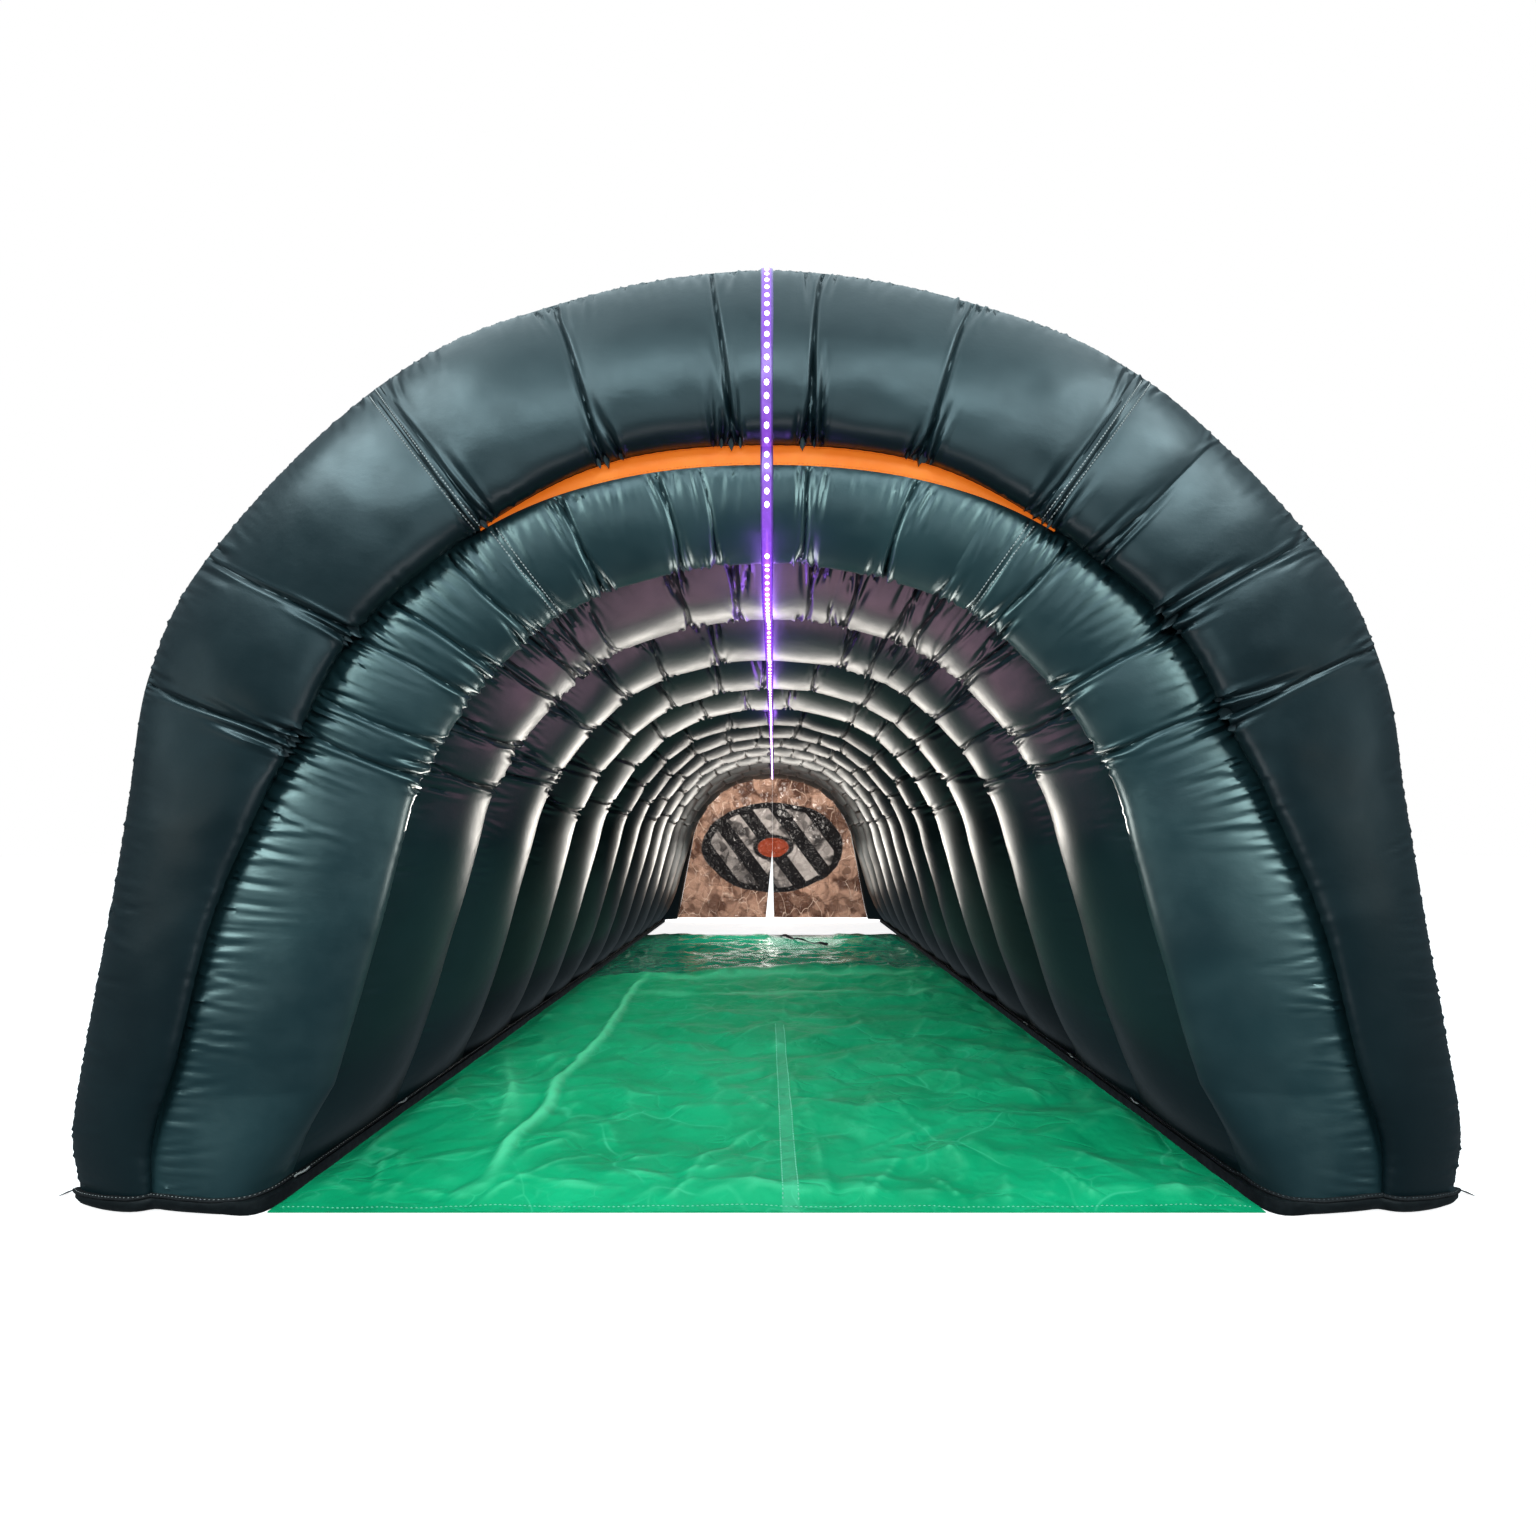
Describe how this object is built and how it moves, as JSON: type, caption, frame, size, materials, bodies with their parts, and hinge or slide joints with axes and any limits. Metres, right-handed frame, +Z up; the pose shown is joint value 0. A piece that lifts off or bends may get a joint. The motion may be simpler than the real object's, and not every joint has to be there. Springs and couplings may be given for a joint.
{
  "type": "inflatable tunnel",
  "caption": "Walk-through inflatable tunnel of arched air cells with a thick rounded mouth, crown light strip, split end curtain and groundsheet.",
  "frame": {"origin": "middle of the footprint, on the ground", "axes": "+Z up, +Y along the tunnel from the light-strip mouth to the curtained end, +X to the right when looking in"},
  "size_m": [5.044, 9.7558, 3.343],
  "materials": {
    "skin": "near-black PVC-coated cloth with a soft gloss and a blue-green tint, gathered along its seams",
    "gusset": "bright orange coated cloth, stitched along both edges",
    "light": "clear sleeve over a violet light strip",
    "groundsheet": "green PVC groundsheet, creased, with a wet gloss further in",
    "curtain": "thin copper-brown translucent cloth, crumpled and slightly glossy",
    "sole": "black coated base cloth, matt and scuffed",
    "webbing": "black woven webbing and edge tape with pale stitches",
    "cord": "off-white braided cord"
  },
  "bodies": {
    "root": {"mouth_outer": "skin", "mouth_inner": "skin", "cell_01": "skin", "cell_02": "skin", "cell_03": "skin", "cell_04": "skin", "cell_05": "skin", "cell_06": "skin", "cell_07": "skin", "cell_08": "skin", "cell_09": "skin", "cell_10": "skin", "cell_11": "skin", "cell_12": "skin", "end_ring": "skin", "crescent": "gusset", "light_strip": "light", "groundsheet": "groundsheet", "curtain_left": "curtain", "curtain_right": "curtain", "strap": "webbing", "sole_right": "sole", "sole_left": "sole", "binding_right": "webbing", "binding_left": "webbing", "corner_tab_right": "webbing", "corner_tab_left": "webbing", "seam_tie_1": "cord", "seam_tie_2": "cord", "seam_tie_3": "cord", "seam_tie_4": "cord", "seam_tie_5": "cord"}
  },
  "joints": []
}
